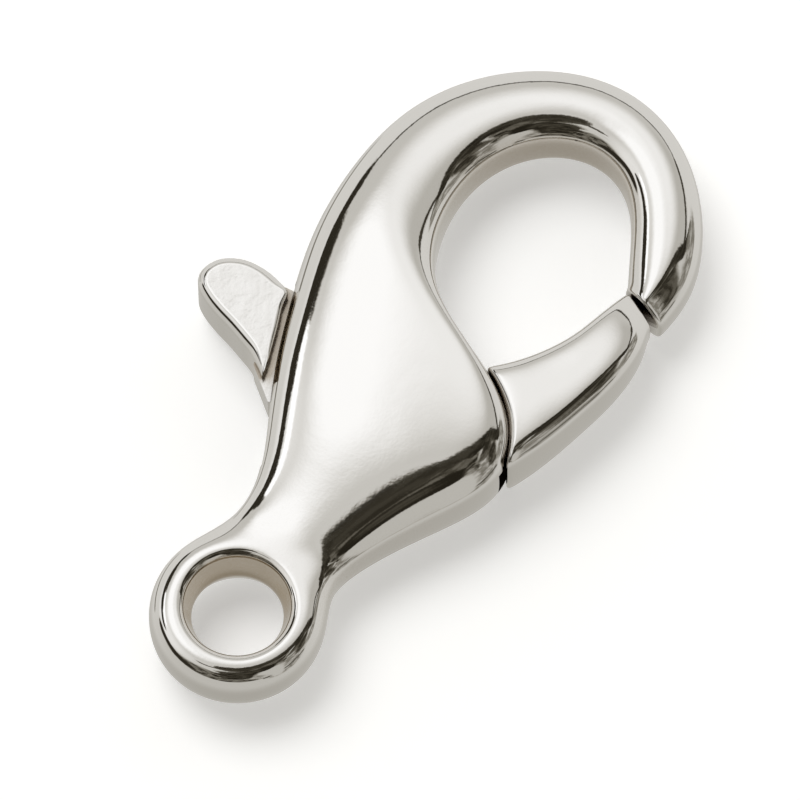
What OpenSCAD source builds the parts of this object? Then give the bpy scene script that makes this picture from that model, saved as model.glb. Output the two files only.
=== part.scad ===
// Lobster clasp for a key ring or a bag: a cast hook body with an eye,
// and a sprung lever that closes the hook.
// Millimetres. The origin is the middle of the eye's hole at half the thickness,
// +Y runs to the top of the hook, +X to the gate, +Z out of the front.

/* [Overall size] */
// Distance from the middle of the eye to the top of the hook
reach = 31; // [28:0.5:36]
// Width across the belly and the hook, without the tab
clasp_w = 16.2; // [15:0.2:19]

/* [Eye] */
// Diameter of the hole in the eye
eye_bore_d = 4.1; // [3:0.1:4.6]
// Width of the bar round the hole
eye_bar_w = 1.95; // [1.5:0.1:2.3]
// Thickness of the eye ring
eye_t = 2.8; // [2.4:0.1:3.2]
// Height of the straight wall inside the hole
eye_wall_h = 1.0; // [0.6:0.1:1.4]

/* [Body and hook] */
// Thickness of the belly at its middle
belly_t = 4.4; // [4:0.1:5.4]
// Thickness of the hook bar
hook_t = 3.1; // [2.6:0.1:3.8]
// How flat the crown is across: 2 is an oval, 4 is nearly flat
crown_power = 2.4; // [2.2:0.1:3]
// How steep the sides are: 2 is an oval, 4 is nearly upright
side_power = 3.0; // [2.4:0.1:3.6]

/* [Gate] */
// Thickness of the gate where it meets the belly
gate_root_t = 3.8; // [3.2:0.1:4.4]
// Thickness of the gate at its tip
gate_tip_t = 2.7; // [2.3:0.1:3.4]
// Gap between the gate and the hook's end
tip_gap = 0.25; // [0.15:0.05:0.5]
// Gap between the gate and the belly
seam_gap = 0.24; // [0.15:0.02:0.4]

/* [Lever] */
// Thickness of the lever's plate inside the belly
plate_t = 1.7; // [1.3:0.1:2]
// Free space between the plate and each side of its slot
slot_clearance = 0.1; // [0.05:0.01:0.2]
// Radius of the plate round the pin
hub_r = 1.9; // [1.5:0.1:2.3]
// How far the tab stands out of the belly
tab_reach = 3.9; // [3:0.1:5]
// Thickness of the thumb tab
tab_t = 2.6; // [2:0.1:3]
// Degrees that the lever turns from closed to open
open_angle = 18; // [10:1:20]

/* [Pivot pin] */
// Diameter of the pin
pin_d = 1.2; // [0.9:0.1:1.6]
// Free space round the pin in the lever
pin_running = 0.04; // [0.02:0.01:0.08]
// Free space round the pin in the body
pin_seat = 0.02; // [0.01:0.01:0.03]
// Front wall that hides the pin
pin_cover = 0.7; // [0.5:0.1:1]

/* [Hidden] */

$fn = 64;
metal = "#d3cfc8";
// Points in a quarter of a section, and rings between two rows of a table
quarter = 5;
steps = 2;

eye_bore_r = eye_bore_d / 2;
eye_mid_r = eye_bore_r + eye_bar_w / 2;
eye_r = eye_bore_r + eye_bar_w;
slot_t = plate_t + 2 * slot_clearance;
// Space that the plate keeps to the ends of its slot
slot_end = 0.12;
// Height above and below the part that cuts run to
through = 4;
// How many times further out than the lever's plate its slot is cut
slot_run = 1.6;
// Sharpness of the line where the eye ring runs into the body
join_power = 8;
// Opened rim of the eye: shares of the bar's half width and of the rim's height
rim_out = 0.25;
rim_down = 0.62;
// Small overlap that keeps two faces from lying on each other
overlap = 0.05;
// Free height at the blind end of the pin, and its depth below the back
pin_end_gap = 0.05;
pin_sunk = 0.15;
// Directions in degrees at which rows are laid round the eye, from its bottom
eye_angles = [8:13:112];
// The tab's flat faces and tight edges
tab_power = 4;
// Ways that the gate is drawn back: square to the seam and square to the hook's end
from_seam = [0.69, 0.72];
from_hook = [0.35, 0.94];

// Pivot, as a share of the width and of the reach
pivot = [0.043 * clasp_w, 0.4355 * reach];

// Columns of a section table: the left and the right edge in shares of clasp_w and
// reach, then the shares of three thicknesses, and the push of the section's middle
// away from the straight line between its edges, in shares of clasp_w.
LX = 0;
LY = 1;
RX = 2;
RY = 3;
FIRST_T = 4;
SECOND_T = 5;
THIRD_T = 6;
PUSH = 7;

// Body from the neck to the end of the hook: thickness shares of eye, belly, hook
BODY_TABLE = [
    [-0.209, 0.092,  0.180, 0.089,  0.90, 0.00, 0.00, 0],
    [-0.173, 0.134,  0.164, 0.126,  1.00, 0.00, 0.00, 0],
    [-0.183, 0.174,  0.176, 0.161,  0.94, 0.08, 0.00, 0],
    [-0.238, 0.224,  0.214, 0.206,  0.72, 0.30, 0.00, 0],
    [-0.315, 0.277,  0.259, 0.261,  0.43, 0.58, 0.00, 0],
    [-0.370, 0.339,  0.316, 0.313,  0.18, 0.82, 0.00, 0],
    [-0.406, 0.403,  0.353, 0.361,  0.05, 0.95, 0.00, 0],
    [-0.449, 0.458,  0.361, 0.413,  0.00, 1.00, 0.00, 0],
    [-0.493, 0.506,  0.306, 0.468,  0.00, 1.00, 0.00, 0],
    [-0.514, 0.558,  0.199, 0.505,  0.00, 1.00, 0.00, 0],
    [-0.532, 0.613,  0.086, 0.527,  0.00, 0.96, 0.04, 0],
    [-0.540, 0.665, -0.025, 0.545,  0.00, 0.84, 0.16, 0],
    [-0.543, 0.716, -0.123, 0.576,  0.00, 0.68, 0.32, 0],
    [-0.534, 0.766, -0.198, 0.621,  0.00, 0.50, 0.50, 0],
    [-0.507, 0.815, -0.236, 0.671,  0.00, 0.34, 0.66, 0],
    [-0.460, 0.865, -0.250, 0.726,  0.00, 0.20, 0.80, 0],
    [-0.394, 0.910, -0.244, 0.779,  0.00, 0.10, 0.90, 0],
    [-0.309, 0.952, -0.204, 0.826,  0.00, 0.04, 0.96, 0],
    [-0.210, 0.981, -0.139, 0.861,  0.00, 0.00, 1.00, 0],
    [-0.105, 1.000, -0.062, 0.883,  0.00, 0.00, 1.00, 0],
    [ 0.006, 1.003,  0.019, 0.889,  0.00, 0.00, 1.00, 0],
    [ 0.120, 0.990,  0.091, 0.879,  0.00, 0.00, 1.00, 0],
    [ 0.222, 0.963,  0.149, 0.860,  0.00, 0.00, 1.00, 0],
    [ 0.312, 0.924,  0.191, 0.834,  0.00, 0.00, 0.99, 0],
    [ 0.383, 0.876,  0.226, 0.808,  0.00, 0.00, 0.97, 0],
    [ 0.431, 0.826,  0.253, 0.782,  0.00, 0.00, 0.95, 0],
    [ 0.458, 0.779,  0.280, 0.765,  0.00, 0.00, 0.92, 0],
    [ 0.456, 0.744,  0.296, 0.755,  0.00, 0.00, 0.82, 0],
    [ 0.432, 0.724,  0.309, 0.748,  0.00, 0.00, 0.62, 0]
];

// Gate from the seam to its tip: left is the loop side; shares of root, tip thickness
GATE_TABLE = [
    [ 0.115, 0.527,  0.369, 0.401,  0.90, 0.00, 0.00, 0.056],
    [ 0.126, 0.534,  0.377, 0.412,  1.00, 0.00, 0.00, 0.053],
    [ 0.156, 0.551,  0.393, 0.439,  0.98, 0.02, 0.00, 0.044],
    [ 0.194, 0.576,  0.416, 0.485,  0.85, 0.15, 0.00, 0.030],
    [ 0.230, 0.609,  0.436, 0.538,  0.66, 0.34, 0.00, 0.016],
    [ 0.259, 0.644,  0.453, 0.590,  0.42, 0.58, 0.00, 0.006],
    [ 0.280, 0.681,  0.460, 0.642,  0.20, 0.80, 0.00, 0],
    [ 0.295, 0.716,  0.451, 0.685,  0.06, 0.94, 0.00, 0],
    [ 0.309, 0.743,  0.425, 0.718,  0.00, 0.84, 0.00, 0]
];

// Thumb tab from its far end to its shoulder: x is a share of tab_reach out from the
// tab's root, y of reach, and the first thickness is tab_t
tab_root_x = -0.451 * clasp_w;
TAB_TABLE = [
    [-0.96, 0.432, -0.95, 0.404,  0.60, 0.00, 0.00, 0],
    [-0.84, 0.450, -0.84, 0.383,  0.98, 0.00, 0.00, 0],
    [-0.64, 0.462, -0.64, 0.361,  1.00, 0.00, 0.00, 0],
    [-0.43, 0.465, -0.42, 0.350,  1.00, 0.00, 0.00, 0],
    [-0.25, 0.462, -0.21, 0.341,  1.00, 0.00, 0.00, 0],
    [-0.12, 0.457, -0.01, 0.332,  0.97, 0.00, 0.00, 0],
    [-0.06, 0.448,  0.17, 0.324,  0.90, 0.00, 0.00, 0],
    [-0.02, 0.438,  0.33, 0.314,  0.80, 0.00, 0.00, 0]
];

function thickness(row, thick) =
    row[FIRST_T] * thick[0] + row[SECOND_T] * thick[1] + row[THIRD_T] * thick[2];

// Rows in millimetres: left edge, right edge, half thickness, push
function sized(table, thick, scale_x, scale_y, x0) = [
    for (row = table) [
        row[LX] * scale_x + x0, row[LY] * scale_y,
        row[RX] * scale_x + x0, row[RY] * scale_y,
        thickness(row, thick) / 2,
        row[PUSH] * clasp_w
    ]
];

// Smooth curve through a list of rows, as a uniform cubic B-spline
function row_at(rows, i) =
    i < 0 ? 2 * rows[0] - rows[1]
    : i >= len(rows) ? 2 * rows[len(rows) - 1] - rows[len(rows) - 2]
    : rows[i];
function curve_at(rows, i, t) =
    row_at(rows, i - 1) * pow(1 - t, 3) / 6
    + row_at(rows, i) * (3 * pow(t, 3) - 6 * pow(t, 2) + 4) / 6
    + row_at(rows, i + 1) * (1 + 3 * t + 3 * pow(t, 2) - 3 * pow(t, 3)) / 6
    + row_at(rows, i + 2) * pow(t, 3) / 6;
function smooth(rows) = [
    for (i = [0:len(rows) - 1], s = [0:steps - 1])
        if (i < len(rows) - 1 || s == 0) curve_at(rows, i, s / steps)
];

// Height of the eye ring's surface at a distance from the middle of its hole
function eye_height(radius) =
    radius <= eye_mid_r ? eye_t / 2
    : radius >= eye_r ? 0
    : eye_t / 2 * pow(1 - pow((radius - eye_mid_r) / (eye_bar_w / 2), crown_power),
                      1 / side_power);

function signed_power(value, power) = sign(value) * pow(abs(value), power);

// Two surfaces joined into one without a crease
function joined(a, b) = pow(pow(a, join_power) + pow(b, join_power), 1 / join_power);

// One closed ring of points across a part, from the right edge over the front
function section(row, across_power, up_power, with_eye) = [
    for (k = [0:4 * quarter - 1])
    let (
        u = signed_power(cos(90 * k / quarter), 2 / across_power),
        v = signed_power(sin(90 * k / quarter), 2 / up_power),
        left = [row[0], row[1]],
        right = [row[2], row[3]],
        across = (right - left) / norm(right - left),
        middle = (left + right) / 2,
        push = row[5] * (1 - u * u),
        place = middle + (right - left) / 2 * u + push * [-across[1], across[0]],
        height = abs(v) * row[4],
        top = with_eye ? joined(height, eye_height(norm(place))) : height
    )
    [place[0], place[1], abs(v) < 0.001 ? 0 : sign(v) * top]
];

// Closed solid through rings of points, with flat or curved ends
module loft(rings) {
    n = len(rings[0]);
    last = len(rings) - 1;
    skin = [
        for (i = [0:last - 1], k = [0:n - 1], half = [0:1])
        let (a = i * n + k, b = i * n + (k + 1) % n)
        half == 0 ? [a, b, b + n] : [a, b + n, a + n]
    ];
    first_end = [
        for (k = [0:n / 2 - 1], half = [0:1])
        let (a = k, b = k + 1, c = n - k - 1, d = (n - k) % n)
        if (half == 0 || k > 0) if (half == 1 || k < n / 2 - 1)
            half == 0 ? [a, c, b] : [a, d, c]
    ];
    far_end = [for (face = first_end) [for (i = [2:-1:0]) face[i] + last * n]];
    last_point = [for (ring = rings, point = ring) point];
    polyhedron(last_point, concat(skin, first_end, far_end));
}

module body_blank() {
    eye_rows = [
        for (a = eye_angles)
            [-eye_r * sin(a), -eye_r * cos(a), eye_r * sin(a), -eye_r * cos(a), 0, 0]
    ];
    neck_rows = sized(BODY_TABLE, [eye_t, belly_t, hook_t], clasp_w, reach, 0);
    rows = smooth(concat(eye_rows, neck_rows));
    loft([for (row = rows) section(row, crown_power, side_power, true)]);
}

// Hole of the eye: a straight wall with an opened rim on both faces
module eye_hole() {
    rim_h = eye_t / 2 - eye_wall_h / 2;
    rim_r = eye_bore_r + rim_out * eye_bar_w / 2;
    rim_z = eye_wall_h / 2 + rim_down * rim_h;
    rotate_extrude()
        polygon([
            [0, -through],
            [eye_mid_r, -through],
            [eye_mid_r, -eye_t / 2 - overlap],
            [rim_r, -rim_z],
            [eye_bore_r, -eye_wall_h / 2],
            [eye_bore_r, eye_wall_h / 2],
            [rim_r, rim_z],
            [eye_mid_r, eye_t / 2 + overlap],
            [eye_mid_r, through],
            [0, through]
        ]);
}

function turned(point, angle) = [
    point[0] * cos(angle) - point[1] * sin(angle),
    point[0] * sin(angle) + point[1] * cos(angle)
];

// Corners of the lever's plate, from the pivot
tab_top = [-0.495 * clasp_w, 0.460 * reach] - pivot;
tab_bottom = [-0.302 * clasp_w, 0.289 * reach] - pivot;
tab_inside = [-0.400 * clasp_w, 0.324 * reach] - pivot;
gate_top = [0.285 * clasp_w, 0.500 * reach] - pivot;
gate_bottom = [0.362 * clasp_w, 0.438 * reach] - pivot;
slot_mouth = [0.346 * clasp_w, 0.388 * reach] - pivot;

module plate() {
    translate([pivot[0], pivot[1], -plate_t / 2]) {
        cylinder(r = hub_r, h = plate_t);
        linear_extrude(plate_t)
            polygon([
                [0, hub_r], tab_top, tab_inside, tab_bottom, [0, -hub_r],
                gate_bottom, gate_top
            ]);
    }
}

// Room in the belly for the plate from closed to open
module slot() {
    wide = hub_r + slot_end;
    translate([pivot[0], pivot[1], -slot_t / 2]) {
        cylinder(r = wide, h = slot_t);
        linear_extrude(slot_t)
            polygon([
                [0, wide],
                (tab_top + [0, slot_end]) * slot_run - [0, wide] * (slot_run - 1),
                turned(tab_bottom + [0, -slot_end], open_angle) * slot_run,
                turned([0, -wide], open_angle)
            ]);
        linear_extrude(slot_t)
            polygon([
                turned([0, wide], open_angle),
                turned((gate_top + [0, slot_end]) * slot_run, open_angle),
                slot_mouth * slot_run,
                [0, -wide]
            ]);
    }
}

module body() {
    color(metal)
    difference() {
        body_blank();
        eye_hole();
        slot();
        translate([pivot[0], pivot[1], -through])
            cylinder(d = pin_d + 2 * pin_seat, h = through + belly_t / 2 - pin_cover);
    }
}

module gate() {
    touching = sized(GATE_TABLE, [gate_root_t, gate_tip_t, 0], clasp_w, reach, 0);
    last = len(touching) - 1;
    // The gate is drawn touching the seam and the hook's end, then drawn back by the gaps
    rows = smooth([
        for (i = [0:last])
        let (back = seam_gap * (1 - i / last) * from_seam - tip_gap * i / last * from_hook)
        touching[i] + [back[0], back[1], back[0], back[1], 0, 0]
    ]);
    loft([for (row = rows) section(row, crown_power, side_power, false)]);
}

module tab() {
    rows = smooth(sized(TAB_TABLE, [tab_t, 0, 0], tab_reach, reach, tab_root_x));
    loft([for (row = rows) section(row, tab_power, tab_power, false)]);
}

module lever() {
    color(metal)
    difference() {
        union() {
            gate();
            plate();
            tab();
        }
        translate([pivot[0], pivot[1], -through])
            cylinder(d = pin_d + 2 * pin_running, h = 2 * through);
    }
}

module pivot_pin() {
    color(metal)
    translate([pivot[0], pivot[1], -belly_t / 2 + pin_sunk])
        cylinder(d = pin_d, h = belly_t - pin_cover - pin_sunk - pin_end_gap);
}

body();
lever();
pivot_pin();
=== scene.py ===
"""Lobster clasp for a key ring or a bag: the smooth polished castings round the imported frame.

Lengths below are millimetres in the frame's own axes: the middle of the eye's hole is 0, 0, 0,
+Y runs to the top of the hook, +X to the gate and +Z out of the front.
"""

import math

import bmesh
import bpy
import numpy as np
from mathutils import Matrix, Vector


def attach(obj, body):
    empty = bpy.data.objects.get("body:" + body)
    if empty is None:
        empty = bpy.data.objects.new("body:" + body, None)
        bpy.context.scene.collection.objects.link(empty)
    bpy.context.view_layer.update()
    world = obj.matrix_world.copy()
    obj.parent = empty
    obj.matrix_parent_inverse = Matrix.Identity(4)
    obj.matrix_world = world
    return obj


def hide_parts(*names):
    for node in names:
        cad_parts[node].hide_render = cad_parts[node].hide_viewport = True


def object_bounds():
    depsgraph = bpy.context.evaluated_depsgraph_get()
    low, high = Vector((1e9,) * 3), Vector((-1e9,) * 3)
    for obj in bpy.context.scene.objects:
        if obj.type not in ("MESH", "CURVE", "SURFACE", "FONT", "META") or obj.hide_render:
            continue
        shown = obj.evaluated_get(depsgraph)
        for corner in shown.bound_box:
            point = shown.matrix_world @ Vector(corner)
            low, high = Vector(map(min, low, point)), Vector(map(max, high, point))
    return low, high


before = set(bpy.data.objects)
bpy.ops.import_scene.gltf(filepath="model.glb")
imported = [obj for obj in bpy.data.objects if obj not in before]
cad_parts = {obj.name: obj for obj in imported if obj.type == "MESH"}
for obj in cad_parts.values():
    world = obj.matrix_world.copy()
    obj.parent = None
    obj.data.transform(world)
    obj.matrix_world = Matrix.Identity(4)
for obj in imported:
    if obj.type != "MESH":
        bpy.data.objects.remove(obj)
cad_low, cad_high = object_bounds()

MM = 0.001


# ---------------------------------------------------------------- real sizes

# Thicknesses, front to back
EYE_T = 2.8
BELLY_T = 4.4
HOOK_T = 3.1
GATE_ROOT_T = 3.8
GATE_TIP_T = 2.7
TAB_T = 2.8

# The eye's outside and the top of its crown, from the middle of its hole
EYE_R = 4.0
EYE_CROWN_R = 3.025

# The lever's plate with its round hub, and the slot that it turns in
PLATE_T = 1.7
SLOT_T = 1.9
HUB_R = 1.9
SLOT_END = 0.12
# The pin's bores in the body and the lever, and the front wall that hides the pin
PIN_HOLE_R = 0.62
LEVER_PIN_R = 0.64
PIN_COVER = 0.7
# How far the lever opens, in degrees, and the middle of its pin
OPEN_ANGLE = 18
PIVOT = np.array([0.6966, 13.5005])

# Rows across the body from the neck to the end of the hook: left x, left y, right x, right y,
# the shares of the eye's, the belly's and the hook's thickness, how far the rounded shoulder on
# the right reaches in, and how far that side is domed like the belly's front
BODY_ROWS = [
    (-2.80, 4.15, 2.66, 3.90, 1.00, 0.00, 0.00, 0.34, 0.00),
    (-2.88, 5.40, 2.85, 5.00, 0.94, 0.08, 0.00, 0.44, 0.30),
    (-3.58, 6.95, 3.47, 6.40, 0.72, 0.30, 0.00, 0.58, 0.70),
    (-4.70, 8.60, 4.18, 8.14, 0.43, 0.58, 0.00, 0.74, 1.00),
    (-5.84, 10.50, 5.07, 9.78, 0.18, 0.82, 0.00, 0.84, 1.00),
    (-6.55, 12.50, 5.66, 11.26, 0.05, 0.95, 0.00, 0.84, 1.00),
    (-7.25, 14.20, 5.82, 12.80, 0.00, 1.00, 0.00, 0.72, 1.00),
    (-7.92, 15.70, 4.93, 14.46, 0.00, 1.00, 0.00, 0.54, 0.70),
    (-8.32, 17.30, 3.12, 15.50, 0.00, 1.00, 0.00, 0.42, 0.30),
    (-8.62, 19.00, 1.22, 16.15, 0.00, 0.96, 0.04, 0.36, 0.00),
    (-8.72, 20.60, -0.56, 16.76, 0.00, 0.84, 0.16, 0.34, 0.00),
    (-8.70, 22.20, -2.04, 17.84, 0.00, 0.68, 0.32, 0.34, 0.00),
    (-8.52, 23.75, -3.12, 19.24, 0.00, 0.50, 0.50, 0.35, 0.00),
    (-8.08, 25.20, -3.72, 20.84, 0.00, 0.34, 0.66, 0.36, 0.00),
    (-7.33, 26.72, -4.02, 22.50, 0.00, 0.20, 0.80, 0.38, 0.00),
    (-6.30, 28.08, -3.92, 24.15, 0.00, 0.10, 0.90, 0.39, 0.00),
    (-4.95, 29.38, -3.28, 25.64, 0.00, 0.04, 0.96, 0.40, 0.00),
    (-3.38, 30.32, -2.28, 26.88, 0.00, 0.00, 1.00, 0.40, 0.00),
    (-1.70, 30.96, -1.00, 27.58, 0.00, 0.00, 1.00, 0.40, 0.00),
    (0.10, 31.10, 0.30, 27.75, 0.00, 0.00, 1.00, 0.40, 0.00),
    (1.95, 30.70, 1.48, 27.42, 0.00, 0.00, 1.00, 0.40, 0.00),
    (3.60, 29.85, 2.42, 26.72, 0.00, 0.00, 1.00, 0.40, 0.00),
    (5.05, 28.65, 3.10, 25.88, 0.00, 0.00, 0.99, 0.40, 0.00),
    (6.20, 27.15, 3.68, 25.05, 0.00, 0.00, 0.97, 0.40, 0.00),
    (6.98, 25.60, 4.14, 24.25, 0.00, 0.00, 0.95, 0.40, 0.00),
    (7.40, 24.15, 4.54, 23.68, 0.00, 0.00, 0.93, 0.40, 0.00),
    (7.24, 22.62, 4.86, 23.16, 0.00, 0.00, 0.90, 0.36, 0.00),
]

# Rows across the gate from the seam to its tip: loop side x, y, outer x, y, then the shares
# of the root's and the tip's thickness, and how far the row's middle bulges
GATE_ROWS = [
    (2.34, 16.06, 5.98, 12.54, 0.96, 0.04, 0.78),
    (2.82, 16.60, 6.36, 13.62, 0.91, 0.09, 0.66),
    (3.42, 17.46, 6.74, 15.02, 0.77, 0.23, 0.44),
    (4.02, 18.57, 7.05, 16.68, 0.68, 0.32, 0.24),
    (4.45, 19.68, 7.33, 18.30, 0.60, 0.40, 0.10),
    (4.68, 20.90, 7.40, 19.85, 0.42, 0.58, 0.00),
    (4.88, 21.94, 7.22, 21.10, 0.14, 0.86, 0.00),
    (5.00, 22.64, 6.88, 21.90, 0.00, 0.86, 0.00),
]

# Outline of the thumb tab from its root at the far side, round its end, down to its tail and
# back beside the body: x, y, how far the wall is hollowed at half height, share of the edge's
# radius
TAB_OUTLINE = [
    (-7.20, 13.76, 0.15, 0.6),
    (-8.00, 13.98, 0.00, 1.0),
    (-8.90, 14.06, 0.00, 1.0),
    (-9.78, 13.92, 0.00, 1.0),
    (-10.54, 13.48, 0.00, 1.0),
    (-10.96, 12.90, 0.00, 1.0),
    (-11.06, 12.18, 0.00, 1.0),
    (-10.72, 11.62, 0.00, 1.0),
    (-10.08, 11.27, 0.00, 1.0),
    (-9.29, 11.02, 0.00, 1.0),
    (-8.46, 10.83, 0.00, 1.0),
    (-7.65, 10.60, 0.00, 1.0),
    (-6.88, 10.36, 0.00, 0.9),
    (-6.18, 9.98, 0.00, 0.5),
    (-5.74, 9.72, 0.04, 0.15),
    (-5.80, 10.30, 0.20, 0.3),
    (-6.10, 11.20, 0.30, 0.7),
    (-6.46, 12.10, 0.30, 0.8),
    (-6.86, 12.98, 0.30, 0.8),
]
# Radius round the tab's face
TAB_EDGE_R = 0.40


# ---------------------------------------------------------------- materials


def linear(hex_colour):
    """An sRGB hex colour as linear light."""
    channels = [int(hex_colour[i:i + 2], 16) / 255 for i in (1, 3, 5)]
    straight = [c / 12.92 if c <= 0.04045 else ((c + 0.055) / 1.055) ** 2.4 for c in channels]
    return (*straight, 1.0)


def add_node(owner, kind, settings=()):
    """One node with its settings; where a setting is another node's output, that is linked in."""
    tree = owner.node_tree
    node = tree.nodes.new(kind)
    for name, value in dict(settings).items():
        if isinstance(name, str) and name not in node.inputs:
            setattr(node, name, value)
        elif isinstance(value, bpy.types.NodeSocket):
            tree.links.new(value, node.inputs[name])
        else:
            node.inputs[name].default_value = value
    return node


# Painted shade in hollows: how far over a casting's own walls a hollow is felt, and between which
# shares of open sky the metal goes from the painted shade's colour to its polished one
HOLLOW_REACH = 8.0
HOLLOW_OPEN = (0.72, 1.0)
HOLLOW_RAYS = 4
# The same for painted shade in the gap between two castings and where a casting lies close to the
# floor, in a dark brown
GAP_REACH = 0.35
GAP_OPEN = (0.15, 0.65)
GAP_RAYS = 2
GAP_SHADE = "#54483c"
# How fine a wave's own detail is
WAVE_DETAIL = 1.5
# A colour mix keeps its colours in sockets that share their names with others, so by number
MIX_SHARE, MIX_FIRST, MIX_SECOND, MIX_RESULT = 0, 6, 7, 2


def polished_metal(name, colour, hollow_shade, roughness, peel, grain):
    """A mirror with soft waves and a fine grain, each a length across and a height in mm, and
    painted shade in its hollows and gaps.
    """
    material = bpy.data.materials.new(name)
    material.use_nodes = True
    shader = material.node_tree.nodes["Principled BSDF"]
    shader.inputs["Metallic"].default_value = 1.0
    shader.inputs["Roughness"].default_value = roughness
    # Painted shade: hollows are drawn browner and darker than the metal's own colour
    sky = add_node(material, "ShaderNodeAmbientOcclusion", {
        "samples": HOLLOW_RAYS, "only_local": True, "Distance": HOLLOW_REACH * MM,
    })
    share = add_node(material, "ShaderNodeMapRange", {
        "From Min": HOLLOW_OPEN[0], "From Max": HOLLOW_OPEN[1], "Value": sky.outputs["AO"],
    })
    colours = add_node(material, "ShaderNodeMix", {
        "data_type": "RGBA", MIX_SHARE: share.outputs[0],
        MIX_FIRST: linear(hollow_shade), MIX_SECOND: linear(colour),
    })
    # Painted shade: browner and darker where another casting or the floor lies close
    gap = add_node(material, "ShaderNodeAmbientOcclusion", {
        "samples": GAP_RAYS, "Distance": GAP_REACH * MM,
    })
    unshaded = add_node(material, "ShaderNodeMapRange", {
        "From Min": GAP_OPEN[0], "From Max": GAP_OPEN[1], "Value": gap.outputs["AO"],
    })
    gap_shaded = add_node(material, "ShaderNodeMix", {
        "data_type": "RGBA", MIX_SHARE: unshaded.outputs[0],
        MIX_FIRST: linear(GAP_SHADE), MIX_SECOND: colours.outputs[MIX_RESULT],
    })
    material.node_tree.links.new(gap_shaded.outputs[MIX_RESULT], shader.inputs["Base Color"])
    place = add_node(material, "ShaderNodeTexCoord").outputs["Object"]
    normal = {}
    for across, height in (peel, grain):
        waves = add_node(material, "ShaderNodeTexNoise", {
            "Scale": 1 / (across * MM), "Detail": WAVE_DETAIL, "Vector": place,
        })
        bump = add_node(material, "ShaderNodeBump", {
            "Distance": height * MM, "Height": waves.outputs[0], **normal,
        })
        normal = {"Normal": bump.outputs[0]}
    material.node_tree.links.new(normal["Normal"], shader.inputs["Normal"])
    return material


# Each finish below gives its own colour and then the painted shade colour of its hollows
# Nickel plated on a tumbled zinc casting: a warm mirror, its faint orange peel from the casting
# and its grain from the tumbling. That grain is really finer, and drawn as coarse as it needs to
# show, as it is on the other metals.
nickel = polished_metal(
    "polished_nickel_plate", "#e5e3df", "#b0a18a", 0.05, peel=(1.3, 0.004), grain=(0.16, 0.0008),
)
# The same plate on the struck face of the tab, left satin by the die, with a faint speckle
satin = polished_metal(
    "satin_nickel_plate", "#e9e7e3", "#b5ab9c", 0.22, peel=(0.9, 0.026), grain=(0.22, 0.008),
)
# The plate as it lies in the slot and the bores, where no wheel polished it: darker and matt
dull = polished_metal(
    "dull_nickel_plate", "#c6c0b6", "#81776a", 0.40, peel=(0.7, 0.010), grain=(0.12, 0.003),
)
# A cut length of drawn wire: greyer and duller than the plate, with the drawing's fine grain
steel = polished_metal(
    "drawn_steel_wire", "#b9b7b3", "#8d867b", 0.24, peel=(0.6, 0.002), grain=(0.05, 0.0005),
)


# ---------------------------------------------------------------- mesh helpers

# Measuring steps are evened out by pulling each row to its neighbours and a little more back
EVENING_ROUNDS = 3
EVENING_PULLS = (0.5, -0.52)
# A row is never taken to lean so far that its shoulder would reach in more than twice as far
LEAST_LEAN = 0.5

# Control points round a section: its end is closed by a grid with this many faces each way
GRID_ACROSS, GRID_DOWN = 4, 6
RING = 2 * (GRID_ACROSS + GRID_DOWN)

# How far the rounded shoulder reaches in from the side, measured square to it
EYE_SHOULDER = 0.34
BELLY_SHOULDER = 1.20
HOOK_SHOULDER = 0.40
GATE_LOOP_SHOULDER = 0.20
# How much further it reaches in on the outside of the hook, row by row to its tip
TIP_SHOULDER = [0.04, 0.12, 0.22, 0.32, 0.42, 0.50]
GATE_OUTER_SHOULDER = 0.42

# Shoulders of a section, from the side's middle up to the crown's edge: share of the reach in
# from the side, share of the half thickness. The last point is the crown half way in.
SOFT_SHOULDER = [(-0.03, 0.0), (0.0, 0.37), (0.18, 0.69), (1.0, 0.885), (0.56, 0.978)]
BROAD_SHOULDER = [(-0.02, 0.0), (0.01, 0.44), (0.36, 0.78), (1.0, 0.90), (0.56, 0.982)]
DOMED_SHOULDER = [(-0.03, 0.0), (-0.01, 0.42), (0.10, 0.68), (1.0, 0.90), (0.72, 0.982)]
TIGHT_SHOULDER = [(-0.04, 0.0), (0.0, 0.52), (0.16, 0.82), (1.0, 0.945), (0.74, 0.988)]
BACK_SHOULDER = [(-0.03, 0.0), (0.0, 0.36), (0.18, 0.68), (1.0, 0.885), (0.58, 0.98)]
CROWN_TOP = 1.012


def mixed(first, second, share):
    """Points part of the way from one shoulder to another."""
    return [tuple(np.array(a) * (1 - share) + np.array(b) * share) for a, b in zip(first, second)]


def section_ring(left, right, half_t, reaches, shoulders, push=0.0):
    """Control points round a bar, from the right crown edge to the left, and back below."""
    left, right = np.array(left, float), np.array(right, float)
    half = np.linalg.norm(right - left) / 2
    across = (right - left) / (2 * half)
    square = np.array([-across[1], across[0]])

    def quarter(way, reach, shoulder, up):
        edge = [(way * (1 - share * reach / half), up * v) for share, v in shoulder[:4]]
        share, v = shoulder[4]
        return edge + [(edge[-1][0] * share, up * v)]

    left_front, right_front = (
        quarter(way, reach, shoulder, 1)
        for way, reach, shoulder in zip((-1, 1), reaches, shoulders)
    )
    left_back, right_back = (
        quarter(way, reach, BACK_SHOULDER, -1) for way, reach in zip((-1, 1), reaches)
    )
    ring = right_front[3:] + [(0.0, CROWN_TOP)] + left_front[:2:-1] + left_front[2::-1]
    ring += left_back[1:] + [(0.0, -1.0)] + right_back[:2:-1] + right_back[2:0:-1] + right_front[:3]
    points = []
    for u, v in ring:
        flat = (left + right) / 2 + across * half * u + square * push * (1 - min(u * u, 1))
        points.append((flat[0], flat[1], v * half_t))
    return np.array(points)


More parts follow.
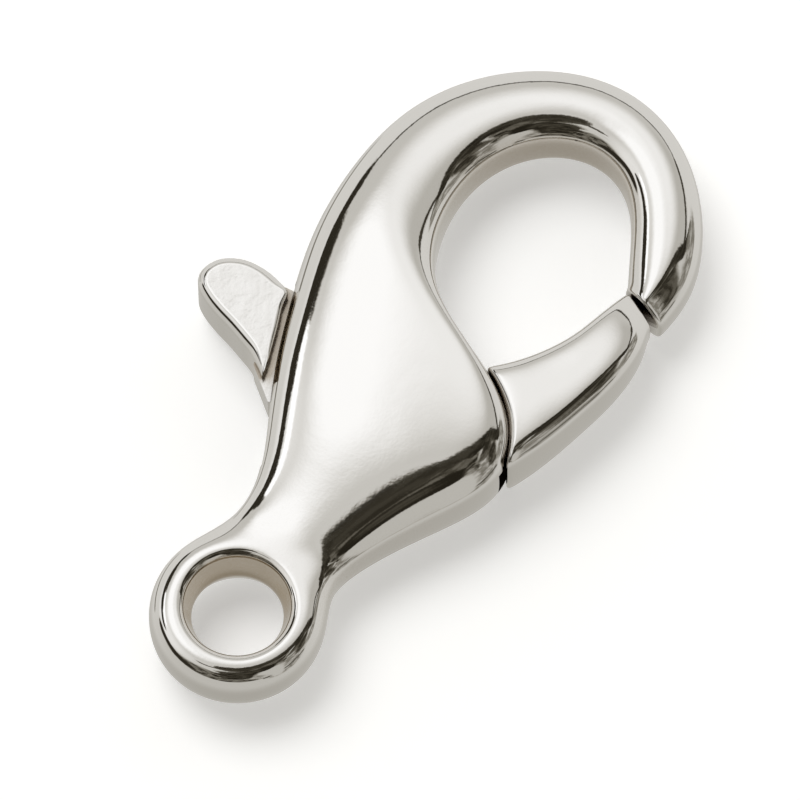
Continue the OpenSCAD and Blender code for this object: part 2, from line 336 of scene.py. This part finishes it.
def evened(rows):
    """The same rows with the small steps of measuring taken out, ends kept."""
    rows = np.array(rows, float)
    for pull in EVENING_PULLS * EVENING_ROUNDS:
        rows[1:-1] += pull * ((rows[:-2] + rows[2:]) / 2 - rows[1:-1])
    return rows


def reach_along(rows, side, wanted):
    """A shoulder's reach measured along each row, from its reach square to the outline."""
    edge = np.array([row[2 * side:2 * side + 2] for row in rows])
    across = np.array([row[2:4] for row in rows]) - np.array([row[0:2] for row in rows])
    across /= np.linalg.norm(across, axis=1, keepdims=True)
    along = np.gradient(edge, axis=0)
    along /= np.linalg.norm(along, axis=1, keepdims=True)
    lean = np.abs(across[:, 0] * along[:, 1] - across[:, 1] * along[:, 0])
    return [reach / max(square, LEAST_LEAN) for reach, square in zip(wanted, lean)]


def drawn_in(ring, inset, forward):
    """The same ring shrunk by an inset and moved along a direction, for a rounded end."""
    middle = ring.mean(axis=0)
    ring = ring.copy()
    reach = ring - middle
    length = np.linalg.norm(reach, axis=1, keepdims=True)
    return middle + reach * (1 - inset / length) + np.array([forward[0], forward[1], 0.0])


def end_faces(points, ring_at):
    """A grid of faces that closes a ring, with its new points between the ring's own."""
    wide, deep = GRID_ACROSS, GRID_DOWN
    grid = {}
    for i in range(wide + 1):
        grid[i, 0] = ring_at + i
        grid[i, deep] = ring_at + RING - deep - i
    for j in range(deep + 1):
        grid[0, j] = ring_at + (RING - j) % RING
        grid[wide, j] = ring_at + wide + j
    for i in range(1, wide):
        for j in range(1, deep):
            a, b = i / wide, j / deep
            spot = (
                points[grid[0, j]] * (1 - a) + points[grid[wide, j]] * a
                + points[grid[i, 0]] * (1 - b) + points[grid[i, deep]] * b
                - (points[grid[0, 0]] * (1 - a) + points[grid[wide, 0]] * a) * (1 - b)
                - (points[grid[0, deep]] * (1 - a) + points[grid[wide, deep]] * a) * b
            )
            grid[i, j] = len(points)
            points.append(spot)
    return [
        (grid[i, j], grid[i + 1, j], grid[i + 1, j + 1], grid[i, j + 1])
        for i in range(wide) for j in range(deep)
    ]


def tube_faces(first, second, count=RING):
    """Faces between two rings of the same count."""
    return [
        (first + k, first + (k + 1) % count, second + (k + 1) % count, second + k)
        for k in range(count)
    ]


def bar_faces(points, rings):
    """Adds the rings' points and gives the faces between each ring and the next."""
    first = len(points)
    for ring in rings:
        points.extend(list(ring))
    return [
        face for i in range(len(rings) - 1)
        for face in tube_faces(first + RING * i, first + RING * (i + 1))
    ]


def new_piece(name, points, faces, finish):
    """An object from points in millimetres, its faces turned outwards."""
    mesh = bpy.data.meshes.new(name)
    mesh.from_pydata([tuple(float(c) * MM for c in p) for p in points], [], faces)
    mesh.validate()
    mesh.materials.append(finish)
    piece = bpy.data.objects.new(name, mesh)
    bpy.context.scene.collection.objects.link(piece)
    bpy.context.view_layer.objects.active = piece
    made = bmesh.new()
    made.from_mesh(mesh)
    bmesh.ops.recalc_face_normals(made, faces=made.faces)
    made.to_mesh(mesh)
    made.free()
    return piece


def settle(piece):
    """Applies the piece's modifiers to its mesh."""
    graph = bpy.context.evaluated_depsgraph_get()
    final = bpy.data.meshes.new_from_object(piece.evaluated_get(graph))
    piece.modifiers.clear()
    piece.data = final
    return piece


def rounded(piece, levels):
    """Catmull-Clark surface through the cage, as smooth as a polished casting."""
    smoother = piece.modifiers.new("casting", "SUBSURF")
    smoother.levels = levels
    smoother.render_levels = levels
    return settle(piece)


def joined_with(piece, other, how):
    """Joins another solid to the piece or cuts it out, and drops the other."""
    tool = piece.modifiers.new("machining", "BOOLEAN")
    tool.object = other
    tool.operation = how
    tool.solver = "EXACT"
    tool.material_mode = "TRANSFER"
    settle(piece)
    bpy.data.objects.remove(other)
    return piece


def prism(name, corners, bottom, top, finish):
    """A straight solid between two heights."""
    count = len(corners)
    points = [(x, y, bottom) for x, y in corners] + [(x, y, top) for x, y in corners]
    faces = tube_faces(0, count, count)
    faces += [tuple(range(count)), tuple(range(2 * count - 1, count - 1, -1))]
    return new_piece(name, points, faces, finish)


def circle(centre, radius, count=64):
    """Corners of a round bore or hub."""
    angles = [2 * math.pi * k / count for k in range(count)]
    return [(centre[0] + radius * math.cos(a), centre[1] + radius * math.sin(a)) for a in angles]


def turned(point, degrees):
    """A point swung round the pivot, which is 0, 0 here."""
    a = math.radians(degrees)
    return np.array([
        point[0] * math.cos(a) - point[1] * math.sin(a),
        point[0] * math.sin(a) + point[1] * math.cos(a),
    ])


# ---------------------------------------------------------------- body casting

# Outside of the eye's bar from half way up its side to its crown: share of the half width of
# the bar, share of its half thickness
EYE_OUTSIDE = [(0.96, 0.0), (0.93, 0.50), (0.62, 0.94)]
EYE_CROWN_LIFT = 1.015
# Inside of the eye from its crown to its narrow middle: radius, height
EYE_INSIDE = [(2.66, 1.42), (2.43, 1.33), (2.375, 1.20), (2.24, 0.78), (2.08, 0.34), (2.04, 0.0)]
# The ring's segments, and the ones from the opening's start that are left out for the neck,
# with the rows of its outside that the neck takes up
EYE_SEGMENTS = 16
OPEN_SEGMENTS = 4
OPEN_FROM = math.radians(45)
OPEN_ROWS = 6
# Where the neck leaves the ring, its outline swings out: rows with their share of the swing
NECK_ROWS = ((2, 0.55), (3, 1.0), (4, 0.55))
NECK_RIGHT = np.array([0.10, 0.02, 0])
NECK_LEFT = np.array([-0.42, 0.02, 0])

# The hook's end is blunt with a small radius: the way it faces, then insets and steps forward
HOOK_END_WAY = np.array([-0.16, -0.98])
HOOK_END = ((0.03, 0.20), (0.22, 0.06))


def eye_ring():
    """Points and faces of the eye with an opening for the neck, and the loop of its edge."""
    half = EYE_T / 2
    bar = EYE_R - EYE_CROWN_R
    outer = [(EYE_CROWN_R, half * EYE_CROWN_LIFT)]
    outer += [(EYE_CROWN_R + bar * u, half * v) for u, v in reversed(EYE_OUTSIDE)]
    profile = outer + [(r, -z) for r, z in reversed(outer[:-1])]
    inside = EYE_INSIDE + [(r, -z) for r, z in reversed(EYE_INSIDE[:-1])]
    profile += list(reversed(inside))
    count = len(profile)
    # Smoothing pulls a circle of points inwards, so they start this much further out
    spread = 6 / (4 + 2 * math.cos(2 * math.pi / EYE_SEGMENTS))
    points, faces = [], []
    for s in range(EYE_SEGMENTS):
        a = OPEN_FROM + 2 * math.pi * s / EYE_SEGMENTS
        for r, z in profile:
            points.append(np.array([r * spread * math.cos(a), r * spread * math.sin(a), z]))
    for s in range(EYE_SEGMENTS):
        here, there = s * count, ((s + 1) % EYE_SEGMENTS) * count
        for k in range(count):
            if s >= OPEN_SEGMENTS or k >= OPEN_ROWS:
                faces.append((here + k, here + (k + 1) % count, there + (k + 1) % count, there + k))
    far = OPEN_SEGMENTS * count
    for k, swing in NECK_ROWS:
        points[k] = points[k] + NECK_RIGHT * swing
        points[far + k] = points[far + k] + NECK_LEFT * swing
    loop = [s * count for s in range(OPEN_SEGMENTS + 1)]
    loop += [far + k for k in range(1, OPEN_ROWS + 1)]
    loop += [s * count + OPEN_ROWS for s in range(OPEN_SEGMENTS - 1, -1, -1)]
    loop += list(range(OPEN_ROWS - 1, 0, -1))
    return points, faces, loop


def body_casting():
    """The eye, the neck, the belly and the hook as one cage of control points."""
    rows = evened(BODY_ROWS)
    shares = rows[:, 4:7]
    left_reaches = shares @ np.array([EYE_SHOULDER, BELLY_SHOULDER, HOOK_SHOULDER])
    left_reaches[-len(TIP_SHOULDER):] += TIP_SHOULDER
    reaches = [reach_along(rows, 0, left_reaches), reach_along(rows, 1, rows[:, 7])]
    rings = []
    for row, share, *reach in zip(rows, shares, *reaches):
        half_t = share @ np.array([EYE_T, BELLY_T, HOOK_T]) / 2
        left = mixed(SOFT_SHOULDER, BROAD_SHOULDER, share[1])
        right = mixed(mixed(SOFT_SHOULDER, TIGHT_SHOULDER, share[1]), DOMED_SHOULDER, row[8])
        rings.append(section_ring(row[0:2], row[2:4], half_t, reach, (left, right)))
    for inset, forward in HOOK_END:
        rings.append(drawn_in(rings[-1], inset, HOOK_END_WAY * forward))
    points, faces, loop = eye_ring()
    first = len(points)
    faces += [
        (loop[k], loop[(k + 1) % RING], first + (k + 1) % RING, first + k) for k in range(RING)
    ]
    faces += bar_faces(points, rings)
    faces += end_faces(points, first + RING * (len(rings) - 1))
    return new_piece("body_casting", points, faces, nickel)


# Corners of the lever's plate, from the pivot
TAB_TOP = np.array([-8.02, 14.26]) - PIVOT
TAB_BOTTOM = np.array([-4.89, 8.96]) - PIVOT
PLATE_TOP = np.array([-7.90, 13.92]) - PIVOT
TAB_INSIDE = np.array([-6.48, 10.04]) - PIVOT
GATE_TOP = np.array([4.62, 15.50]) - PIVOT
GATE_BOTTOM = np.array([5.86, 13.58]) - PIVOT
SLOT_MOUTH = np.array([5.72, 12.81]) - PIVOT
# How many times further out than the plate's corners the slot is cut
SLOT_RUN = 1.6
# Height above and below the part that cuts run to
THROUGH = 4


def cut_slot(body):
    """The slot in the belly that the lever's plate swings in."""
    wide = HUB_R + SLOT_END
    end = np.array([0, SLOT_END])
    rim = np.array([0, wide])
    tab_side = [
        rim,
        (TAB_TOP + end) * SLOT_RUN - rim * (SLOT_RUN - 1),
        turned(TAB_BOTTOM - end, OPEN_ANGLE) * SLOT_RUN,
        turned(-rim, OPEN_ANGLE),
    ]
    gate_side = [
        turned(rim, OPEN_ANGLE),
        turned((GATE_TOP + end) * SLOT_RUN, OPEN_ANGLE),
        SLOT_MOUTH * SLOT_RUN,
        -rim,
    ]
    for corners in (circle((0, 0), wide), tab_side, gate_side):
        places = [PIVOT + np.array(corner) for corner in corners]
        cutter = prism("cutter", places, -SLOT_T / 2, SLOT_T / 2, dull)
        joined_with(body, cutter, "DIFFERENCE")
    hole = prism("cutter", circle(PIVOT, PIN_HOLE_R), -THROUGH, BELLY_T / 2 - PIN_COVER, dull)
    joined_with(body, hole, "DIFFERENCE")


# ---------------------------------------------------------------- lever casting

# The ways that the gate's ends face, and their insets and steps forward from the last full ring
SEAM_WAY = np.array([-0.69, -0.72])
TIP_WAY = np.array([0.35, 0.94])
GATE_ENDS = ((0.03, 0.16), (0.20, 0.05))
# How far the seam's edge lies over the belly's rounded shoulder
SEAM_OVERHANG = 0.06


def gate_casting():
    """The gate from the seam to its tip, with a small radius at both ends."""
    reaches = [
        reach_along(GATE_ROWS, side, [reach] * len(GATE_ROWS))
        for side, reach in ((0, GATE_LOOP_SHOULDER), (1, GATE_OUTER_SHOULDER))
    ]
    rings = []
    for row, *reach in zip(GATE_ROWS, *reaches):
        half_t = (row[4] * GATE_ROOT_T + row[5] * GATE_TIP_T) / 2
        shoulders = (TIGHT_SHOULDER, TIGHT_SHOULDER)
        rings.append(section_ring(row[0:2], row[2:4], half_t, reach, shoulders, row[6]))
    for inset, forward in GATE_ENDS:
        rings.insert(0, drawn_in(rings[0], inset, SEAM_WAY * forward))
        rings.append(drawn_in(rings[-1], inset, TIP_WAY * forward))
    for ring in rings[:len(GATE_ENDS) + 1]:
        lift = (ring[:, 2] / ring[:, 2].max()) ** 2
        ring[:, :2] += lift[:, None] * SEAM_WAY * SEAM_OVERHANG
    points = []
    faces = bar_faces(points, rings)
    faces += end_faces(points, 0)
    faces += end_faces(points, RING * (len(rings) - 1))
    return new_piece("lever_casting", points, faces, nickel)


def smooth_outline(corners, steps=6):
    """A closed curve through the corners, with a number of steps from each to the next."""
    corners = np.array(corners)
    before, after, beyond = (np.roll(corners, turn, axis=0) for turn in (1, -1, -2))
    curve = []
    for p0, p1, p2, p3 in zip(before, corners, after, beyond):
        for k in range(steps):
            t = k / steps
            curve.append(
                p1 + (p2 - p0) / 2 * t + (p0 - 2.5 * p1 + 2 * p2 - p3 / 2) * t * t
                + (1.5 * (p1 - p2) + (p3 - p0) / 2) * t ** 3
            )
    return np.array(curve)


# Steps round the tab's edge radius, how much its faces' rims are drawn in past it, and the
# heights between the edges as shares of half the thickness
EDGE_STEPS = 6
FACE_RIM = 0.05
TAB_WALL = (0.55, 0.28, 0.0)


def thumb_tab():
    """A flat tab with a small even radius round its face, and a satin face on both sides."""
    outline = smooth_outline(TAB_OUTLINE)
    flat, hollow, share = outline[:, :2], outline[:, 2], outline[:, 3]
    count = len(flat)
    along = np.roll(flat, -1, axis=0) - np.roll(flat, 1, axis=0)
    along /= np.linalg.norm(along, axis=1, keepdims=True)
    inward = np.stack([-along[:, 1], along[:, 0]], axis=1)
    half = TAB_T / 2
    levels = [(half, TAB_EDGE_R + FACE_RIM)]
    for k in range(EDGE_STEPS, -1, -1):
        a = math.radians(90 * k / EDGE_STEPS)
        levels.append((half - TAB_EDGE_R * (1 - math.sin(a)), TAB_EDGE_R * (1 - math.cos(a))))
    levels += [(half * part, 0.0) for part in TAB_WALL]
    levels += [(-z, inset) for z, inset in reversed(levels[:-1])]
    points, faces = [], []
    for z, inset in levels:
        inset = inset * share + hollow * (1 - (z / half) ** 2)
        points.extend([np.array([x, y, z]) for x, y in flat + inward * inset[:, None]])
    for i in range(len(levels) - 1):
        faces += tube_faces(count * i, count * (i + 1), count)
    last = count * (len(levels) - 1)
    faces += [tuple(range(count)), tuple(range(last + count - 1, last - 1, -1))]
    tab = new_piece("tab", points, faces, nickel)
    tab.data.materials.append(satin)
    for face in tab.data.polygons[-2:]:
        face.material_index = 1
    return tab


def lever_plate():
    """The flat web in the slot that carries the gate and the tab round the pin."""
    corners = [(0, HUB_R), PLATE_TOP, TAB_INSIDE, TAB_BOTTOM, (0, -HUB_R), GATE_BOTTOM, GATE_TOP]
    places = [PIVOT + np.array(corner) for corner in corners]
    plate = prism("plate", places, -PLATE_T / 2, PLATE_T / 2, satin)
    hub = prism("hub", circle(PIVOT, HUB_R), -PLATE_T / 2, PLATE_T / 2, satin)
    return joined_with(plate, hub, "UNION")


# ---------------------------------------------------------------- putting it together

# Rounds of smoothing, and the angle in degrees above which an edge stays sharp
LEVELS = 3
SHARP_EDGE = 32

body = rounded(body_casting(), LEVELS)
cut_slot(body)

lever = rounded(gate_casting(), LEVELS)
joined_with(lever, lever_plate(), "UNION")
joined_with(lever, thumb_tab(), "UNION")
pin_bore = prism("cutter", circle(PIVOT, LEVER_PIN_R), -THROUGH, THROUGH, dull)
joined_with(lever, pin_bore, "DIFFERENCE")

for piece, part, node in ((body, "casting", "body"), (lever, "lever", "lever")):
    piece.data.shade_smooth()
    piece.data.set_sharp_from_angle(angle=math.radians(SHARP_EDGE))
    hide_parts(node)
    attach(piece, part)

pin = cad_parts["pivot_pin"]
pin.data.materials.clear()
pin.data.materials.append(steel)


# ---------------------------------------------------------------- floor, light, camera

# Matt white paper with a little light through it from the tent's table, so that it stays white
# and the shadow on it soft and pale
PAPER_GLOW = 0.35
PAPER_HALF = 900
PAPER_CORNERS = ((-1, -1), (1, -1), (1, 1), (-1, 1))

paper = bpy.data.materials.new("white_paper_sweep")
paper.use_nodes = True
sheet = [(PAPER_HALF * x, PAPER_HALF * y, 0) for x, y in PAPER_CORNERS]
floor = new_piece("floor", sheet, [(0, 1, 2, 3)], paper)
floor.location.z = cad_low.z
floor.visible_glossy = False
shader = paper.node_tree.nodes["Principled BSDF"]
shader.inputs["Base Color"].default_value = linear("#f6f6f5")
shader.inputs["Roughness"].default_value = 0.9
shader.inputs["Emission Color"].default_value = linear("#fdfdfd")
shader.inputs["Emission Strength"].default_value = PAPER_GLOW

# The picture's right and its top, as directions on the table: the clasp lies across the picture
PICTURE_TURN = 36
RIGHT = Vector((math.cos(math.radians(PICTURE_TURN)), math.sin(math.radians(PICTURE_TURN)), 0))
UP = Vector((-RIGHT.y, RIGHT.x, 0))
CAMERA_TILT = math.radians(66)
CAMERA_FAR = 500
SENSOR = 36

# Where the middle of the picture is on the table, and how far along its view the camera sees
PICTURE_MIDDLE = (7.25, 10.58)
SEEN_FROM, SEEN_TO = 0.01, 10

look_at = RIGHT * PICTURE_MIDDLE[0] + UP * PICTURE_MIDDLE[1]
back = -UP * math.cos(CAMERA_TILT) + Vector((0, 0, math.sin(CAMERA_TILT)))
camera_data = bpy.data.cameras.new("camera")
camera = bpy.data.objects.new("camera", camera_data)
bpy.context.scene.collection.objects.link(camera)
camera_data.sensor_width = SENSOR
camera_data.lens = CAMERA_FAR
camera_data.clip_start, camera_data.clip_end = SEEN_FROM, SEEN_TO
camera.location = (look_at + back * CAMERA_FAR) * MM
camera.rotation_mode = "QUATERNION"
camera.rotation_quaternion = back.to_track_quat("Z", "Y")
bpy.context.scene.camera = camera

# Bearings in the tent run from the picture's right over its top, heights from the table's plane
# up to overhead, both in degrees. Each part of the sky goes softly from one light to another
# towards a bearing, and again with height. Edges are sines: 0 is level or square to the bearing.
# The tent's wall all round, darker towards the camera and below the table
WALL_BEARING = 85
WALL_SIDES, WALL_HEIGHTS = (-0.95, 0.95), (-0.98, -0.35)
WALL_LIGHTS, WALL_FOOT_SHARES = (0.62, 0.80), (0.72, 1.0)
# The softbox overhead: its light, and where it ends towards the camera and lower down
SOFTBOX_LIGHT = 0.66
SOFTBOX_BEARING = 80
SOFTBOX_SIDES = (-0.02, 0.16)
SOFTBOX_HEIGHTS = [math.sin(math.radians(height)) for height in (41, 43)]
# The near side, with the camera and its stand: its dark and light parts
STAND_LIGHTS = (0.02, 0.24)
STAND_BEARING = -95
STAND_SIDES, STAND_HEIGHTS = (0.16, 0.34), (0.24, 0.32)
# Lighter things to the right of the camera, given as a stroke
BENCH_LIGHTS = (0.22, 0.60)
BENCH = ([(-40, 8), (-42, 50)], 14, 12)
# The clutter's size and roughness, and where it goes from its dark parts to its light ones
CLUTTER_GRAIN = {"Scale": 8.0, "Detail": 5.0, "Roughness": 0.68}
CLUTTER = (0.42, 0.60)
# Dark parts of the room are warmer than the lamps: green and blue fall off faster than red
WARMTH = {"Green": 1.04, "Blue": 1.14}

# What is seen against the softbox and the wall, from the back layer to the front one: its
# places as bearing and height, half width and soft edge in degrees, and its light, or the
# lights of its clutter's dark and light parts
TENT_STROKES = [
    ([(44, 61)], 14, 7, (0.57,)),
    ([(159, 52)], 9, 20, (0.97,)),
    ([(81, 62)], 3, 13, (1.06,)),
    ([(115, 68), (102, 62)], 3, 7, (1.24,)),
    ([(90, 88)], 8, 6, (0.74,)),
    ([(-26, 71), (-38, 62)], 7, 2, (0.03, 0.34)),
    ([(-62, 12), (-40, 13), (-18, 14)], 2.2, 1.2, (0.05,)),
    ([(112, 41.4), (100, 40.7), (80, 40.5), (60, 41.5), (44, 44), (34, 48)], 0.7, 0.5, (0.04,)),
    ([(50, 44.3), (36, 46.8), (24, 47)], 1.6, 0.8, (0.05,)),
    ([(116, 42.5), (126, 45.5), (142, 47), (158, 50)], 3.6, 1.0, (0.03,)),
    ([(126, 46), (140, 48)], 4.8, 1.0, (0.03,)),
    ([(125, 49.5), (134, 50)], 4.6, 1.6, (0.03,)),
    ([(132, 55), (148, 58)], 1.4, 1.8, (1.4,)),
    ([(90, 86)], 6, 1.5, (0.03, 0.10)),
    ([(100, 84), (31, 63), (19, 46), (24, 36)], 3.4, 1.0, (0.02, 0.055)),
    ([(16, 76), (-8, 74)], 3, 2, (0.02, 0.20)),
    ([(150, 85), (170, 77)], 1, 1, (0.08,)),
    ([(-48, 82), (-20, 81), (8, 82)], 4.5, 1.5, (0.03, 0.16)),
    ([(2, 65), (20, 65)], 4, 2, (0.03, 0.14)),
    ([(-49, 2), (-49, 57)], 4, 4, (0.60,)),
    ([(-30, 77), (-42, 70)], 4, 2, (0.02,)),
    ([(-88, 76), (-88, 48)], 9, 5, (0.02, 0.07)),
    ([(-2, 31), (16, 31)], 8, 5, (0.22, 0.55)),
    ([(8, 56), (-12, 42)], 4, 5, (0.03, 0.12)),
    ([(190, 72), (230, 72)], 1.2, 1.5, (0.70,)),
    ([(176, 31), (188, 32), (200, 32), (212, 30)], 9, 4, (0.03,)),
    ([(122, -20), (136, -15), (156, -8)], 2.8, 1.8, (0.24,)),
]


def studio():
    """A light tent seen from the clasp: x is the picture's right, y its top, z overhead.

    A softbox hangs overhead and behind, with the tent's grey wall below it and a thin dark gap
    between the two. The camera and its stand darken the middle of the sky and the near side.
    """
    world = bpy.data.worlds.new("light_tent")
    world.use_nodes = True
    bpy.context.scene.world = world
    number, arrow, fade = "ShaderNodeMath", "ShaderNodeVectorMath", "ShaderNodeMapRange"
    softly = {"interpolation_type": "SMOOTHSTEP"}

    sight = add_node(world, "ShaderNodeTexCoord").outputs["Generated"]
    around = add_node(world, "ShaderNodeMapping", {
        "Rotation": (0, 0, math.radians(-PICTURE_TURN)), "Vector": sight,
    }).outputs[0]
    rise = add_node(world, "ShaderNodeSeparateXYZ", {0: around}).outputs[2]
    clutter = add_node(
        world, "ShaderNodeTexNoise", {**CLUTTER_GRAIN, "Vector": around},
    ).outputs[0]

    # The sky as a flat chart with overhead in the middle, so that shapes can be drawn on it
    flat = add_node(world, arrow, {"operation": "MULTIPLY", 0: around, 1: (1, 1, 0)})
    depth = add_node(world, number, {"operation": "ADD", 0: rise, 1: 1})
    shrink = add_node(world, number, {"operation": "DIVIDE", 0: 1, 1: depth.outputs[0]})
    chart = add_node(world, arrow, {
        "operation": "SCALE", 0: flat.outputs["Vector"], "Scale": shrink.outputs[0],
    }).outputs["Vector"]

    def charted(bearing, height):
        a = math.radians(bearing)
        reach = math.tan(math.radians(90 - height) / 2)
        return Vector((reach * math.cos(a), reach * math.sin(a), 0))

    def part_of_sky(bearing, sides, heights, lights=(0.0, 1.0), shares=(0.0, 1.0)):
        """Light that changes towards a bearing, times a share that changes with height."""
        a = math.radians(bearing)
        turned_to = add_node(world, arrow, {
            "operation": "DOT_PRODUCT", 0: around, 1: (math.cos(a), math.sin(a), 0),
        })
        sideways = add_node(world, fade, {
            **softly, "From Min": sides[0], "From Max": sides[1],
            "To Min": lights[0], "To Max": lights[1], "Value": turned_to.outputs["Value"],
        })
        upwards = add_node(world, fade, {
            **softly, "From Min": heights[0], "From Max": heights[1],
            "To Min": shares[0], "To Max": shares[1], "Value": rise,
        })
        return add_node(world, number, {
            "operation": "MULTIPLY", 0: sideways.outputs[0], 1: upwards.outputs[0],
        }).outputs[0]

    def brushed(places, half_width, soft):
        """A stroke through places given as bearing and height; one place makes a round patch."""
        spots = [charted(*place) for place in places]
        per_degree = math.radians(0.5) * (1 + spots[0].length_squared)
        nearest = None
        for here, there in zip(spots, spots[1:] or spots):
            off = add_node(world, arrow, {"operation": "SUBTRACT", 0: chart, 1: here})
            run = there - here
            if run.length > 0:
                share = add_node(world, arrow, {
                    "operation": "DOT_PRODUCT",
                    0: off.outputs["Vector"], 1: run / run.length_squared,
                })
                kept = add_node(world, "ShaderNodeClamp", {"Value": share.outputs["Value"]})
                gone = add_node(world, arrow, {
                    "operation": "SCALE", 0: run, "Scale": kept.outputs[0],
                })
                off = add_node(world, arrow, {
                    "operation": "SUBTRACT", 0: off.outputs["Vector"], 1: gone.outputs["Vector"],
                })
            far = add_node(world, arrow, {"operation": "LENGTH", 0: off.outputs["Vector"]})
            far = far.outputs["Value"]
            if nearest is not None:
                far = add_node(world, number, {
                    "operation": "MINIMUM", 0: nearest, 1: far,
                }).outputs[0]
            nearest = far
        return add_node(world, fade, {
            **softly, "From Min": (half_width + soft) * per_degree,
            "From Max": half_width * per_degree, "Value": nearest,
        }).outputs[0]

    # From the wall at the back to what stands nearest: where each layer is, and its lights
    light = part_of_sky(WALL_BEARING, WALL_SIDES, WALL_HEIGHTS, WALL_LIGHTS, WALL_FOOT_SHARES)
    layers = [
        (part_of_sky(STAND_BEARING, STAND_SIDES, STAND_HEIGHTS), STAND_LIGHTS),
        (brushed(*BENCH), BENCH_LIGHTS),
        (part_of_sky(SOFTBOX_BEARING, SOFTBOX_SIDES, SOFTBOX_HEIGHTS), (SOFTBOX_LIGHT,)),
    ]
    layers += [(brushed(*stroke), lights) for *stroke, lights in TENT_STROKES]
    for where, lights in layers:
        shade = lights[0]
        if len(lights) > 1:
            shade = add_node(world, fade, {
                **softly, "From Min": CLUTTER[0], "From Max": CLUTTER[1],
                "To Min": lights[0], "To Max": lights[1], "Value": clutter,
            }).outputs[0]
        light = add_node(world, "ShaderNodeMix", {
            "data_type": "FLOAT", "Factor": where, "A": light, "B": shade,
        }).outputs["Result"]

    tint = add_node(world, "ShaderNodeCombineColor", {"Red": light})
    for channel, power in WARMTH.items():
        darker = add_node(world, number, {"operation": "POWER", 0: light, 1: power})
        world.node_tree.links.new(darker.outputs[0], tint.inputs[channel])
    backdrop = world.node_tree.nodes["Background"]
    world.node_tree.links.new(tint.outputs[0], backdrop.inputs["Color"])


studio()

# A soft key light from the upper left throws the shadow; the metal itself mirrors the tent alone
KEY_LIGHT = 1.2
KEY_SOFTNESS = 40
KEY_FROM = UP * 0.62 - RIGHT * 0.55 + Vector((0, 0, 1.35))

key_data = bpy.data.lights.new("key_light", "SUN")
key_data.energy = KEY_LIGHT
key_data.angle = math.radians(KEY_SOFTNESS)
key = bpy.data.objects.new("key_light", key_data)
bpy.context.scene.collection.objects.link(key)
key.visible_glossy = False
key.rotation_mode = "QUATERNION"
key.rotation_quaternion = KEY_FROM.to_track_quat("Z", "Y")

bpy.context.scene.view_settings.view_transform = "Standard"
